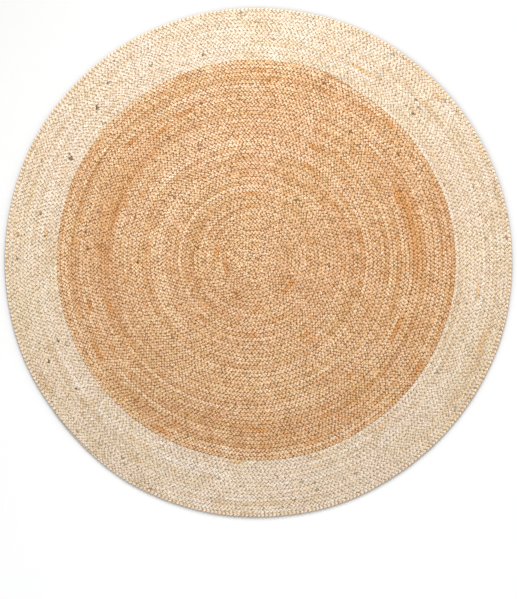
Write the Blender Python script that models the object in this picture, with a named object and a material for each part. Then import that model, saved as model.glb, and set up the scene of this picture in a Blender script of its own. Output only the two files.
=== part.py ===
"""Round jute rug: a tan field and a cream border, each a flat braid coiled edge to edge.

Metres, +Z up. The rug lies on z = 0 with the middle of its outline at the origin. Each turn of
braid is one rounded row, raised on the top face and level underneath. The coil runs clockwise
outwards, seen from above, and the border starts where the field ends.
"""

import math

import bmesh
import bpy

# Driving dimensions, in metres.
RUG_RADIUS = 0.600
THICKNESS = 0.008
GROOVE_HEIGHT = 0.0056  # floor to the bottom of the groove between two rows
SEWN_GAP = 0.0003  # between the field and the border

# The coil, in points along the braid.
STEPS = 60  # points round one full turn
FIELD_END = 50 * STEPS
BAND_END = FIELD_END + 14 * STEPS + 34
FIELD_TAPER = 2  # over how many steps the braid's end narrows to nothing
BAND_TAPER = 4
FIELD_END_AZIMUTH = math.radians(60)
COARSE_UNTIL = {4: 4 * STEPS, 2: 16 * STEPS}  # stride of the points, and where it ends

# Widths, in rows.
KNOB = 0.5  # radius of the knob where the coil starts
KNOB_TOP = 0.3  # how far the knob's top lies from the middle, clear of the coil's start
MEAN_EDGE = 0.5  # mean width of the last turn outside its starting point
ROW = RUG_RADIUS / (BAND_END / STEPS + KNOB + MEAN_EDGE)

# The rim's round side: share of the row's width set in, and share of the thickness.
SHOULDER_INSET = 0.15
SHOULDER_HEIGHT = 0.80
BELLY_HEIGHT = 0.45
FOOT_INSET = 0.22

# The tan braid is a little wider than the cream one, so the field reaches further than its
# share of the rows.
FIELD_REACH = 0.78  # where the field ends, as a share of the rug's radius
FIELD_GAIN = 0.0040

# What is uneven in hand work: how far the first turn and the turns halfway across the field lie
# from the outline's middle, and how far all rows wander, as waves round the rug.
MIDDLE_X = -0.0030
MIDDLE_Y = 0.0055
LEAN_X = -0.0090
WAVES = (
    # waves per turn, size at the rim, phase, phase gained from the middle to the rim (degrees)
    (2, 0.0009, 20, 70),
    (3, 0.0008, 100, -120),
    (5, 0.0007, 250, 150),
    (8, 0.0005, 40, -200),
    (13, 0.0004, 310, 260),
)

TAN = (0.60, 0.36, 0.18, 1.0)
CREAM = (0.74, 0.60, 0.42, 1.0)
JUTE_ROUGHNESS = 0.85
SHARP_EDGE = math.radians(50)


def clear_scene():
    """Remove every object of the scene the script is run in."""
    for thing in list(bpy.data.objects):
        bpy.data.objects.remove(thing, do_unlink=True)


def groove_radius(step):
    """Radius of the groove that a row has on its inner side, before the unevenness."""
    return ROW * (step / STEPS + KNOB)


def width_share(step, end, taper):
    """How much of its full width a braid has at this step."""
    return min(1.0, (end - step) / taper)


def edge_radius(step, end, taper):
    """Radius of the outer side of the row at a step."""
    return groove_radius(step) + ROW * width_share(step, end, taper)


def wander(azimuth, reach):
    """How far rows stray outwards at an azimuth; reach is 0 in the middle and 1 at the rim."""
    stray = 0.0
    for count, size, phase, gained in WAVES:
        stray += size * math.cos(count * azimuth + math.radians(phase + gained * reach))
    return stray * reach


def hand_laid(radius, step):
    """Where a point at a radius of the even coil lies once the rows are laid by hand."""
    azimuth = FIELD_END_AZIMUTH - math.tau * step / STEPS
    reach = radius / RUG_RADIUS
    inward = max(0.0, 1.0 - reach)
    across = min(1.0, reach / FIELD_REACH)
    middle_x = MIDDLE_X * inward + LEAN_X * math.sin(math.pi * across)
    middle_y = MIDDLE_Y * inward**2
    gained = FIELD_GAIN * min(across, inward / (1.0 - FIELD_REACH))
    strayed = radius + gained + wander(azimuth, reach)
    return (middle_x + strayed * math.cos(azimuth), middle_y + strayed * math.sin(azimuth))


def outline_middle():
    """Middle of the box round the rug's outline."""
    outline = []
    for step in range(BAND_END - STEPS, BAND_END):
        outline.append(hand_laid(edge_radius(step, BAND_END, BAND_TAPER), step))
    return tuple((min(values) + max(values)) / 2 for values in zip(*outline))


OUTLINE_MIDDLE = outline_middle()


def place(radius, step, height):
    """Point of the rug, in its own frame."""
    x, y = hand_laid(radius, step)
    return (x - OUTLINE_MIDDLE[0], y - OUTLINE_MIDDLE[1], height)


def tapered_height(height, share):
    """Height of a row's surface, which sinks to the groove where the braid narrows."""
    return min(height, GROOVE_HEIGHT) + max(0.0, height - GROOVE_HEIGHT) * share


def stride_at(step):
    """Steps between neighbouring points: the small turns in the middle need fewer."""
    for stride, end in COARSE_UNTIL.items():
        if step < end:
            return stride
    return 1


class Coil:
    """A closed solid for one braid that is coiled flat.

    A row runs from the groove on its inner side over its crest to the groove on its outer
    side. Rings go once round the coil, with one vertex for each azimuth, at step % STEPS.
    """

    def __init__(self, first, end, taper):
        self.mesh = bmesh.new()
        self.first = first
        self.end = end
        self.taper = taper
        self.inner = {}
        self.crest = {}
        self.rim = []

    def vertex(self, radius, step, height):
        """Add one vertex."""
        return self.mesh.verts.new(place(radius, step, height))

    def face(self, corners):
        """Add a face, leaving out corners that fall together where a braid tapers."""
        distinct = list(dict.fromkeys(corners))
        if len(distinct) > 2:
            self.mesh.faces.new(distinct)

    def ring(self, height, inset=0.0):
        """Add a ring round the last turn, set in by a share of the row's width."""
        ring = [None] * STEPS
        for step in range(self.end - STEPS, self.end):
            share = width_share(step, self.end, self.taper)
            radius = edge_radius(step, self.end, self.taper) - inset * ROW * share
            ring[step % STEPS] = self.vertex(radius, step, tapered_height(height, share))
        return ring

    def bridge(self, upper, lower):
        """Join two rings with a wall of faces."""
        for i in range(STEPS):
            j = (i + 1) % STEPS
            self.face([upper[i], upper[j], lower[j], lower[i]])

    def set_rim(self, ring):
        """Take the ring as the top faces' outer edge, and close the tapered end on it."""
        self.rim = ring
        self.inner[self.end] = ring[self.end % STEPS]
        self.crest[self.end] = ring[self.end % STEPS]

    def outer(self, step):
        """Vertex on the outer side of the row at a step."""
        if step < self.end - STEPS:
            return self.inner[step + STEPS]
        return self.rim[step % STEPS]

    def add_crest(self, step, inside, outside):
        """Add a crest vertex halfway between two radii, lower where the row is narrow."""
        share = min(1.0, (outside - inside) / ROW)
        height = tapered_height(THICKNESS, share)
        self.crest[step] = self.vertex((inside + outside) / 2, step, height)

    def add_rows(self, step):
        """Add the grooves and crests from a step to the coil's end."""
        while step < self.end:
            inside = groove_radius(step)
            self.inner[step] = self.vertex(inside, step, GROOVE_HEIGHT)
            self.add_crest(step, inside, edge_radius(step, self.end, self.taper))
            step += stride_at(step)

    def add_slopes(self):
        """Add the two slopes of each row, down from its crest to both sides."""
        step = self.first
        while step < self.end:
            after = step + stride_at(step)
            far_side = [self.outer(step)]
            beyond = step
            while beyond < after:
                beyond += stride_at(beyond + STEPS)
                far_side.append(self.outer(beyond))
            self.face([self.inner[step], self.inner[after], self.crest[after], self.crest[step]])
            self.face([self.crest[step], self.crest[after]] + far_side[::-1])
            step = after

    def finish(self, name, colour):
        """Turn the faces outwards and make the scene's object, with its own material."""
        bmesh.ops.recalc_face_normals(self.mesh, faces=self.mesh.faces)
        data = bpy.data.meshes.new(name)
        self.mesh.to_mesh(data)
        self.mesh.free()
        data.shade_smooth()
        data.set_sharp_from_angle(angle=SHARP_EDGE)
        data.materials.append(jute(name, colour))
        thing = bpy.data.objects.new(name, data)
        bpy.context.collection.objects.link(thing)


def jute(name, colour):
    """Matt jute in one colour."""
    material = bpy.data.materials.new(name + "_jute")
    material.use_nodes = True
    shader = material.node_tree.nodes["Principled BSDF"]
    shader.inputs["Base Color"].default_value = colour
    shader.inputs["Roughness"].default_value = JUTE_ROUGHNESS
    shader.inputs["Metallic"].default_value = 0.0
    return material


def make_centre_field():
    """The tan braid, from the knob in the middle to its tapered end."""
    coil = Coil(0, FIELD_END, FIELD_TAPER)
    coil.set_rim(coil.ring(GROOVE_HEIGHT))
    coil.add_rows(0)
    coil.add_slopes()

    knob_top = coil.vertex(KNOB_TOP * ROW, -STEPS / 4, THICKNESS)
    knob_edge = [coil.inner[step] for step in range(0, STEPS + 1, stride_at(0))]
    knob_edge += [coil.crest[0], coil.inner[0]]
    for near, far in zip(knob_edge, knob_edge[1:]):
        coil.face([knob_top, near, far])

    foot = coil.ring(0.0)
    coil.bridge(coil.rim, foot)
    underside = coil.vertex(0.0, 0, 0.0)
    for i in range(STEPS):
        coil.face([underside, foot[i], foot[(i + 1) % STEPS]])
    coil.finish("centre_field", TAN)


def make_border_band():
    """The cream braid, coiled on around the field and tapered at the rim."""
    first = FIELD_END - FIELD_TAPER
    coil = Coil(first, BAND_END, BAND_TAPER)
    coil.set_rim(coil.ring(SHOULDER_HEIGHT * THICKNESS, SHOULDER_INSET))
    coil.add_rows(first + STEPS + 1)

    # The side that meets the field, one sewn gap outside the field's outline. The braid
    # starts there as a wedge, beside the field's tapered end.
    hem_top = [None] * STEPS
    hem_foot = [None] * STEPS
    for step in range(first, first + STEPS):
        met = step if step < FIELD_END else step - STEPS
        radius = edge_radius(met, FIELD_END, FIELD_TAPER) + SEWN_GAP
        coil.inner[step] = coil.vertex(radius, step, GROOVE_HEIGHT)
        hem_top[step % STEPS] = coil.inner[step]
        hem_foot[step % STEPS] = coil.vertex(radius, step, 0.0)
        if step > first:
            coil.add_crest(step, radius, groove_radius(step) + ROW)
    start = coil.inner[first]
    coil.crest[first] = start
    coil.inner[first + STEPS] = start
    coil.add_crest(first + STEPS, groove_radius(first + STEPS), groove_radius(first + 2 * STEPS))
    coil.add_slopes()

    belly = coil.ring(BELLY_HEIGHT * THICKNESS)
    foot = coil.ring(0.0, FOOT_INSET)
    coil.bridge(coil.rim, belly)
    coil.bridge(belly, foot)
    coil.bridge(foot, hem_foot)
    coil.bridge(hem_foot, hem_top)
    coil.finish("border_band", CREAM)


def main():
    """Build the rug."""
    clear_scene()
    make_centre_field()
    make_border_band()


main()
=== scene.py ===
"""Round jute rug: two flat three-strand plaits, a tan one and a cream one, coiled edge to edge.

Metres, +Z up, in the frame of the CAD model. Every place where a strand comes up over the plait is
a lobe of its own, laid along the same coil as the CAD solids. Round the rim the strands turn over
the edge. Under the lobes lies the body of the plait, whose underside is the face on the floor.
"""

import logging
import math
from dataclasses import dataclass
from enum import Enum, IntEnum
from typing import Dict, List, Sequence, Tuple

import bpy
import numpy as np
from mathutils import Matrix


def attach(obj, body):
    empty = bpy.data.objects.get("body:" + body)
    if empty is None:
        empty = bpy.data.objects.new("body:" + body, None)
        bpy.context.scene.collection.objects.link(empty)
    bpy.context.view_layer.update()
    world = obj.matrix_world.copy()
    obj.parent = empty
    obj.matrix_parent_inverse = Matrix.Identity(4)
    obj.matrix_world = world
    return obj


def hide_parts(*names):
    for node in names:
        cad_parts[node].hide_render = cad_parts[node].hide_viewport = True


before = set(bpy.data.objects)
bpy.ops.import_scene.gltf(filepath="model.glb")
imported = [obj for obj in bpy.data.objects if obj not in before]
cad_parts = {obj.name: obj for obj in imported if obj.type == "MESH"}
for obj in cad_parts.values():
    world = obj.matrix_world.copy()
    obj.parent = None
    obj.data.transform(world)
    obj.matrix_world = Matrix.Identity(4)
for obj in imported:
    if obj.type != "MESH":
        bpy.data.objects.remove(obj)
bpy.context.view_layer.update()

Colour = Tuple[float, float, float, float]
Fields = Dict[str, np.ndarray]
Socket = bpy.types.NodeSocket

LOG = logging.getLogger("jute_rug")
MILLI = 0.001
TAU = math.tau
STRANDS = 3  # strands in each plait


class Column(Enum):
    """The two columns of lobes that a row of plait shows, by the side of its middle line."""

    INNER = -1.0
    OUTER = 1.0


class Draw(IntEnum):
    """What each series of random numbers is for. Its number is added to the yarn's seed."""

    STRAND = 11
    ROW = 21
    STRETCH = 22
    BLUSH = 31
    STAIN = 41
    PATCH = 51
    WARMTH = 52
    SPACING = 61
    INNER_LOBES = 71
    OUTER_LOBES = 72
    RIM = 81


# ------------------------------------------------------------
# The coil: the sizes and waves of the CAD source
# ------------------------------------------------------------


@dataclass(frozen=True)
class Coil:
    """How the rows lie: a spiral of even rows, strayed a little as hand work does."""

    rug_radius: float = 0.600
    thickness: float = 0.008
    groove_height: float = 0.0056
    sewn_gap: float = 0.0003
    steps: int = 60
    field_end: int = 50 * 60
    band_end: int = 50 * 60 + 14 * 60 + 34
    field_taper: int = 2
    band_taper: int = 4
    field_end_azimuth: float = math.radians(60)
    knob: float = 0.5
    eye: float = 0.0003  # radius of the pinhole that the first turn winds round
    mean_edge: float = 0.5
    field_reach: float = 0.78  # where the field ends, as a share of the rug's radius
    field_gain: float = 0.0040  # how far it reaches beyond its share of the rows
    middle_x: float = -0.0030  # how far the first turn lies from the outline's middle
    middle_y: float = 0.0055
    lean_x: float = -0.0090  # and how much further the turns halfway across the field
    waves: Tuple[Tuple[float, float, float, float], ...] = (
        # waves per turn, size at the rim, phase, phase gained from the middle to the rim (degrees)
        (2, 0.0009, 20, 70),
        (3, 0.0008, 100, -120),
        (5, 0.0007, 250, 150),
        (8, 0.0005, 40, -200),
        (13, 0.0004, 310, 260),
    )

    @property
    def row(self) -> float:
        """Width of one row."""
        return self.rug_radius / (self.band_end / self.steps + self.knob + self.mean_edge)

    def groove_radius(self, step: np.ndarray) -> np.ndarray:
        """Radius of the groove on the inner side of the row at a step."""
        return self.row * (step / self.steps + self.knob)

    def azimuth(self, step: np.ndarray) -> np.ndarray:
        """Azimuth of a step: the coil runs clockwise outwards."""
        return self.field_end_azimuth - TAU * step / self.steps

    def wander(self, azimuth: np.ndarray, reach: np.ndarray) -> np.ndarray:
        """How far rows stray outwards.

        Args:
            azimuth: angles round the rug, in radians.
            reach: 0 in the middle and 1 at the rim.

        Returns:
            The stray in metres at each place.
        """
        stray = np.zeros_like(azimuth)
        for count, size, phase, gained in self.waves:
            stray += size * np.cos(count * azimuth + np.radians(phase + gained * reach))
        return stray * reach

    def hand_laid(self, radius: np.ndarray, step: np.ndarray) -> Tuple[np.ndarray, np.ndarray]:
        """Where points of the even coil lie once the rows are laid by hand.

        Args:
            radius: radius of each point on the even coil.
            step: step of each point along the coil.

        Returns:
            x and y of each point, before the outline is centred.
        """
        azimuth = self.azimuth(step)
        reach = radius / self.rug_radius
        inward = np.maximum(0.0, 1.0 - reach)
        across = np.minimum(1.0, reach / self.field_reach)
        middle_x = self.middle_x * inward + self.lean_x * np.sin(math.pi * across)
        middle_y = self.middle_y * inward**2
        gained = self.field_gain * np.minimum(across, inward / (1.0 - self.field_reach))
        strayed = radius + gained + self.wander(azimuth, reach)
        return middle_x + strayed * np.cos(azimuth), middle_y + strayed * np.sin(azimuth)

    def outline_middle(self) -> Tuple[float, float]:
        """Middle of the box round the rug's outline.

        Returns:
            Its x and y, worked out at the whole steps of the last turn.
        """
        step = np.arange(self.band_end - self.steps, self.band_end).astype(float)
        share = np.minimum(1.0, (self.band_end - step) / self.band_taper)
        x, y = self.hand_laid(self.groove_radius(step) + self.row * share, step)
        return float(x.min() + x.max()) / 2, float(y.min() + y.max()) / 2

    def place(self, radius: np.ndarray, step: np.ndarray, height: np.ndarray) -> np.ndarray:
        """Points of the rug in its own frame.

        Args:
            radius: radius of each point on the even coil.
            step: step of each point along the coil.
            height: height of each point above the floor.

        Returns:
            The points, with x, y and z on the last axis.
        """
        x, y = self.hand_laid(radius, step)
        middle_x, middle_y = self.outline_middle()
        return np.stack([x - middle_x, y - middle_y, height], axis=-1)


COIL = Coil()
RIM_START = COIL.band_end - COIL.steps  # step at which the rug's last turn starts


@dataclass(frozen=True)
class Plaited:
    """One plait of the coil, from its first step to its end.

    A place in the row has three numbers: run is the length along the row's middle line from its
    start, aside is the distance outwards from that line, and height is above the floor.
    """

    first: float
    end: float
    taper: float
    starts_beside: float = 0.0  # the end of the plait whose tapered end this one starts beside
    least_fullness: float = 0.02
    measured_every: float = 0.2  # steps between the points where its length is measured

    def share(self, step: np.ndarray) -> np.ndarray:
        """How much of its full width the plait has at each step."""
        return np.clip((self.end - step) / self.taper, 0.0, 1.0)

    def inside(self, step: np.ndarray) -> np.ndarray:
        """Radius of the inner side of the plait.

        Args:
            step: steps along the coil.

        Returns:
            The radius at each step.
        """
        radius = np.maximum(COIL.eye, COIL.groove_radius(step))
        if self.starts_beside:
            beside = np.clip((self.starts_beside - step) / COIL.field_taper, 0.0, 1.0)
            radius = radius + COIL.row * beside + COIL.sewn_gap
        return radius

    def outside(self, step: np.ndarray) -> np.ndarray:
        """Radius of the outer side of the plait."""
        return COIL.groove_radius(step) + COIL.row * self.share(step)

    def fullness(self, step: np.ndarray) -> np.ndarray:
        """Width of the plait as a share of a full row."""
        share = (self.outside(step) - self.inside(step)) / COIL.row
        return np.clip(share, self.least_fullness, 1.0)

    def ruler(self) -> Tuple[np.ndarray, np.ndarray]:
        """Measure the plait's middle line.

        Returns:
            Steps along the plait, and the length of the line up to each.
        """
        step = np.arange(self.first, self.end, self.measured_every)
        middle = (self.inside(step) + self.outside(step)) / 2
        per_step = TAU / COIL.steps * middle
        pieces = np.diff(step) * (per_step[1:] + per_step[:-1]) / 2
        return step, np.concatenate([[0.0], np.cumsum(pieces)])

    def length(self) -> float:
        """Length of the plait's middle line."""
        return float(self.ruler()[1][-1])

    def step_at(self, run: np.ndarray) -> np.ndarray:
        """Step at a length along the middle line, a little past either end as well.

        Args:
            run: lengths along the middle line.

        Returns:
            The step at each length.
        """
        step, length = self.ruler()
        inner = np.interp(run, length, step)
        middle = np.maximum(COIL.row / 2, (self.inside(inner) + self.outside(inner)) / 2)
        beyond = run - np.clip(run, 0.0, length[-1])
        return inner + beyond / (middle * TAU / COIL.steps)

    def place(self, run: np.ndarray, aside: np.ndarray, height: np.ndarray) -> np.ndarray:
        """Points of the rug from places in the row.

        Args:
            run: length along the row's middle line.
            aside: distance outwards from that line, where the plait has its full width.
            height: height above the floor.

        Returns:
            The points, with x, y and z on the last axis.
        """
        step = np.clip(self.step_at(run), self.first, self.end)
        inside = self.inside(step)
        width = np.maximum(0.0, self.outside(step) - inside)
        radius = np.maximum(0.0, inside + width * (0.5 + aside / COIL.row))
        return COIL.place(radius, step, height)


FIELD_PLAIT = Plaited(-1.4 * COIL.steps, COIL.field_end, COIL.field_taper)
BAND_PLAIT = Plaited(
    COIL.field_end - COIL.field_taper, COIL.band_end, COIL.band_taper, COIL.field_end
)


# ------------------------------------------------------------
# Yarn: how its colour changes along the plait
# ------------------------------------------------------------


BELL_END = 4  # in spreads: past that, a bell is nothing
PATCH_WAVES = 40
PATCH_PACES = (0.4, 1.6)  # slowest and quickest wave, in half waves a patch


def drift(seed: int, count: int, reach: float) -> np.ndarray:
    """Smooth noise of unit spread.

    Args:
        seed: number that fixes the draw.
        count: how many values.
        reach: over how many values the noise stays alike.

    Returns:
        The noise, one value for each place.
    """
    margin = int(BELL_END * reach) + 1
    white = np.random.default_rng(seed).standard_normal(count + 2 * margin)
    offsets = np.arange(-margin, margin + 1)
    bell = np.exp(-0.5 * (offsets / reach) ** 2)
    smooth = np.convolve(white, bell / np.sqrt((bell**2).sum()), mode="same")
    return smooth[margin : margin + count]


def patchwork(seed: int, centre: np.ndarray, reach: float) -> np.ndarray:
    """Smooth noise of unit spread over the rug's plan.

    Args:
        seed: number that fixes the draw.
        centre: places in the rug's frame.
        reach: about how wide a patch is.

    Returns:
        The noise at each place.
    """
    draw = np.random.default_rng(seed)
    noise = np.zeros(len(centre))
    for _ in range(PATCH_WAVES):
        way, phase = draw.uniform(0, TAU, 2)
        pace = draw.uniform(*PATCH_PACES) * math.pi / reach
        noise += np.cos(pace * (centre[:, 0] * np.cos(way) + centre[:, 1] * np.sin(way)) + phase)
    return noise / math.sqrt(PATCH_WAVES / 2)


@dataclass(frozen=True)
class Streak:
    """A stretch of the coil whose yarn has another colour, or has light or shade painted on it."""

    radius: float
    width: float
    azimuth: float  # of its middle, in degrees
    half_angle: float
    tone: float = 0.0
    stain: float = 0.0

    def weight(self, radius: np.ndarray, azimuth: np.ndarray) -> np.ndarray:
        """How strongly the streak shows.

        Args:
            radius: distance of each place from the rug's middle.
            azimuth: its azimuth in radians.

        Returns:
            The strength at each place, from 0 to 1.
        """
        off_row = (radius - self.radius) / self.width
        turned = (azimuth - math.radians(self.azimuth) + math.pi) % TAU - math.pi
        off_middle = turned / math.radians(self.half_angle)
        return np.exp(-(off_row**4)) * np.exp(-(off_middle**4))


@dataclass(frozen=True)
class YarnColour:
    """How the colour of a plait's yarn varies, in shares of its range of tones."""

    seed: int
    middle: float = 0.5
    each_lobe: float = 0.08
    each_strand: float = 0.03
    strand_reach: float = 3.0  # in lobes of one strand
    row: float = 0.045
    row_reach: float = 28.0  # in lobes
    stretch: float = 0.025
    stretch_reach: float = 60.0
    patch: float = 0.03
    patch_reach: float = 0.05  # in metres
    blush_drift: float = 0.25
    blush_each: float = 0.20
    blush_patch: float = 0.15
    blush_reach: float = 4.0
    stain_above: float = 1.3  # in spreads of the stain's noise
    stain_gain: float = 0.8
    stain_reach: float = 4.0
    fleck_above: float = 2.75
    fleck_strength: float = 0.7
    streaks: Tuple[Streak, ...] = ()
    knots: Tuple[Tuple[float, float], ...] = ()  # radius and azimuth in degrees of dark knots
    knot_reach: float = 0.0033

    def at(self, order: np.ndarray, centre: np.ndarray) -> Fields:
        """Colour of each lobe.

        Args:
            order: place of each lobe in the plaiting, where every third is the same strand.
            centre: centre of each lobe in the rug's frame.

        Returns:
            The fields tone, blush, stain and fleck, one value for each lobe.
        """
        count = int(order.max()) + STRANDS + 1
        draw = np.random.default_rng(self.seed)
        tone = self.middle + self.each_lobe * draw.standard_normal(count)
        for strand in range(STRANDS):
            own = drift(self.seed + Draw.STRAND + strand, count, STRANDS * self.strand_reach)
            tone[strand::STRANDS] += self.each_strand * own[strand::STRANDS]
        tone += self.row * drift(self.seed + Draw.ROW, count, self.row_reach)
        tone += self.stretch * drift(self.seed + Draw.STRETCH, count, self.stretch_reach)
        blush = 0.5 + self.blush_drift * drift(self.seed + Draw.BLUSH, count, self.blush_reach)
        blush += self.blush_each * draw.standard_normal(count)
        stain = drift(self.seed + Draw.STAIN, count, self.stain_reach) - self.stain_above
        fleck = self.fleck_strength * (draw.standard_normal(count) > self.fleck_above)
        patch = patchwork(self.seed + Draw.PATCH, centre, self.patch_reach)
        warmth = patchwork(self.seed + Draw.WARMTH, centre, 2 * self.patch_reach)
        fields = {
            "tone": tone[order] + self.patch * patch,
            "blush": blush[order] + self.blush_patch * warmth,
            "stain": np.clip(self.stain_gain * stain, 0.0, 1.0)[order],
            "fleck": fleck[order],
        }
        self.mark(fields, centre)
        return {name: np.clip(values, 0.0, 1.0) for name, values in fields.items()}

    def mark(self, fields: Fields, centre: np.ndarray) -> None:
        """Add the listed streaks and knots.

        Args:
            fields: the fields of the lobes, which are changed.
            centre: centre of each lobe in the rug's frame.
        """
        radius = np.hypot(centre[:, 0], centre[:, 1])
        azimuth = np.arctan2(centre[:, 1], centre[:, 0])
        for streak in self.streaks:
            weight = streak.weight(radius, azimuth)
            fields["tone"] = fields["tone"] + streak.tone * weight
            fields["stain"] = np.maximum(fields["stain"], streak.stain * weight)
        for knot_radius, knot_azimuth in self.knots:
            angle = math.radians(knot_azimuth)
            knot = (knot_radius * math.cos(angle), knot_radius * math.sin(angle))
            apart = np.hypot(centre[:, 0] - knot[0], centre[:, 1] - knot[1])
            fields["fleck"] = np.maximum(fields["fleck"], 1.0 * (apart < self.knot_reach))


# ------------------------------------------------------------
# Meshes from arrays
# ------------------------------------------------------------


@dataclass
class Form:
    """A small closed form that is repeated: its faces, and how many vertices each copy has."""

    faces: List[Tuple[int, ...]]
    vertices: int

    def corners(self, copies: int) -> np.ndarray:
        """Vertex of each face corner, for all copies in turn."""
        one = np.concatenate([np.array(face) for face in self.faces])
        return (one[None, :] + self.vertices * np.arange(copies)[:, None]).ravel()

    def sizes(self, copies: int) -> np.ndarray:
        """Number of corners of each face, for all copies in turn."""
        return np.tile([len(face) for face in self.faces], copies)


@dataclass
class Parcel:
    """Arrays that make up one mesh: points, face corners, fields on points and maps."""

    points: np.ndarray
    sizes: np.ndarray
    corners: np.ndarray
    fields: Fields
    yarn_run: np.ndarray
    flat: np.ndarray

    @classmethod
    def of_copies(cls, form: Form, points: np.ndarray, fields: Fields, yarn_run: np.ndarray,
                  flat: np.ndarray) -> "Parcel":
        """Parcel of a form's copies.

        Args:
            form: the form.
            points: vertices of each copy.
            fields: one value for each copy, or for each of its vertices.
            yarn_run: places of the vertices on the yarn.
            flat: places of the vertices in the plan.

        Returns:
            The parcel.
        """
        count = len(points)
        spread = {
            name: values if len(values) > count else np.repeat(values, form.vertices)
            for name, values in fields.items()
        }
        return cls(points.reshape(-1, 3), form.sizes(count), form.corners(count), spread,
                   yarn_run.reshape(-1, 2), flat.reshape(-1, 2))

    def joined(self, other: "Parcel") -> "Parcel":
        """Put this parcel and another in one.

        Args:
            other: the other parcel, with the same fields.

        Returns:
            The parcel of both.
        """
        return Parcel(
            np.concatenate([self.points, other.points]),
            np.concatenate([self.sizes, other.sizes]),
            np.concatenate([self.corners, other.corners + len(self.points)]),
            {name: np.concatenate([own, other.fields[name]]) for name, own in self.fields.items()},
            np.concatenate([self.yarn_run, other.yarn_run]),
            np.concatenate([self.flat, other.flat]),
        )


def make_piece(name: str, parcel: Parcel,
               materials: Sequence[bpy.types.Material]) -> bpy.types.Object:
    """Make an object from arrays, at the origin and unturned.

    Args:
        name: the piece's name.
        parcel: its arrays.
        materials: its finishes; faces take the first.

    Returns:
        The new object.
    """
    mesh = bpy.data.meshes.new(name)
    mesh.vertices.add(len(parcel.points))
    mesh.vertices.foreach_set("co", parcel.points.astype(np.float32).ravel())
    mesh.loops.add(len(parcel.corners))
    mesh.loops.foreach_set("vertex_index", parcel.corners.astype(np.int32))
    mesh.polygons.add(len(parcel.sizes))
    starts = np.concatenate([[0], np.cumsum(parcel.sizes)[:-1]])
    mesh.polygons.foreach_set("loop_start", starts.astype(np.int32))
    mesh.update(calc_edges=True)
    for field_name, values in parcel.fields.items():
        layer = mesh.attributes.new(field_name, "FLOAT", "POINT")
        layer.data.foreach_set("value", values.astype(np.float32))
    for map_name, places in (("yarn_run", parcel.yarn_run), ("OFBake", unit_square(parcel.flat))):
        layer = mesh.uv_layers.new(name=map_name)
        layer.uv.foreach_set("vector", places[parcel.corners].astype(np.float32).ravel())
    mesh.shade_smooth()
    for material in materials:
        mesh.materials.append(material)
    piece = bpy.data.objects.new(name, mesh)
    bpy.context.collection.objects.link(piece)
    return piece


def unit_square(flat: np.ndarray) -> np.ndarray:
    """Plan positions scaled to fill the unit square, so that a map drawn on them is sharp."""
    low = flat.min(axis=0)
    return (flat - low) / (flat.max(axis=0) - low)


# ------------------------------------------------------------
# The plait's upper side
# ------------------------------------------------------------


@dataclass(frozen=True)
class Station:
    """One cross-section of a lobe: its two edges in plan, then heights and shades.

    The near edge lies over the lobe before it, and the far edge lies by the groove and under the
    lobe after it. Heights and places are in millimetres, and shades, the shade painted there, run
    from 0 to 1.
    """

    near: Tuple[float, float]  # along the row, aside from its middle line
    far: Tuple[float, float]
    heights: Tuple[float, float, float]  # of the near edge, the back and the far edge
    shades: Tuple[float, float, float]


@dataclass(frozen=True)
class LobeShape:
    """A blunt, slanting lobe: a strand comes up at the groove, crosses to the row's middle line
    and a little past it, and dives there under the next lobe of the other column."""

    tip: Tuple[float, float, float, float]
    stations: Tuple[Station, ...]
    tail: Tuple[float, float, float, float]

    def vertices(self, shoulder: float) -> np.ndarray:
        """Vertices of the lobe.

        Args:
            shoulder: where the back starts, as a share of the width in from each edge.

        Returns:
            For each vertex along, aside and height in metres, its shade, and its place on the
            yarn: along it and across it.
        """
        length = len(self.stations) + 1
        rows = [(*self.tip, 0.0, 0.5)]
        for number, station in enumerate(self.stations, start=1):
            near, far = np.array(station.near), np.array(station.far)
            for share, part in ((0.0, 0), (shoulder, 1), (1.0 - shoulder, 1), (1.0, 2)):
                place = near + (far - near) * share
                look = (station.heights[part], station.shades[part], number / length, share)
                rows.append((*place, *look))
        rows.append((*self.tail, 1.0, 0.5))
        table = np.array(rows)
        table[:, :3] *= MILLI
        return table

    def form(self) -> Form:
        """Faces of the lobe.

        Returns:
            A point, rings of four, and a point. The underside comes first, so that a map drawn
            from above keeps the upper side.
        """
        rings = len(self.stations)
        faces: List[Tuple[int, ...]] = []
        for corner in (3, 0, 1, 2):
            after = (corner + 1) % 4
            faces.append((0, 1 + corner, 1 + after))
            for ring in range(rings - 1):
                near = 1 + 4 * ring
                far = near + 4
                faces.append((near + corner, far + corner, far + after, near + after))
            last = 1 + 4 * (rings - 1)
            faces.append((last + after, last + corner, last + 4))
        return Form(faces, 4 * rings + 2)


DRAWN_PITCH = 0.00855  # length of one lobe along the row in the shapes below
EDGE_HEIGHT = 0.0066  # of a lobe's edges: its relief is what stands above them

# The last number of the tip and the tail, like each station's shades, is painted shade: most at the
# edges and the tail, where the lobe dives under the next.
INNER_LOBE = LobeShape(
    tip=(0.5, 4.4, 6.8, 0.6),
    stations=(
        Station((1.1, 3.1), (3.9, 4.7), (6.8, 7.6, 7.3), (1.0, 0.35, 0.5)),
        Station((3.2, 1.2), (7.8, 4.6), (6.8, 8.3, 7.3), (1.0, 0.0, 0.5)),
        Station((5.9, -1.4), (10.6, 2.2), (6.7, 7.9, 6.8), (1.0, 0.25, 1.0)),
    ),
    tail=(10.9, -2.2, 5.9, 1.0),
)

OUTER_LOBE = LobeShape(
    tip=(0.4, 4.4, 6.8, 0.6),
    stations=(
        Station((1.1, 3.2), (4.4, 4.7), (6.8, 7.6, 7.3), (1.0, 0.35, 0.5)),
        Station((3.3, 1.1), (8.1, 4.5), (6.8, 8.3, 7.3), (1.0, 0.0, 0.5)),
        Station((5.8, -1.5), (10.7, 2.0), (6.7, 7.9, 6.8), (1.0, 0.25, 1.0)),
    ),
    tail=(10.8, -2.4, 5.9, 1.0),
)


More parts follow.
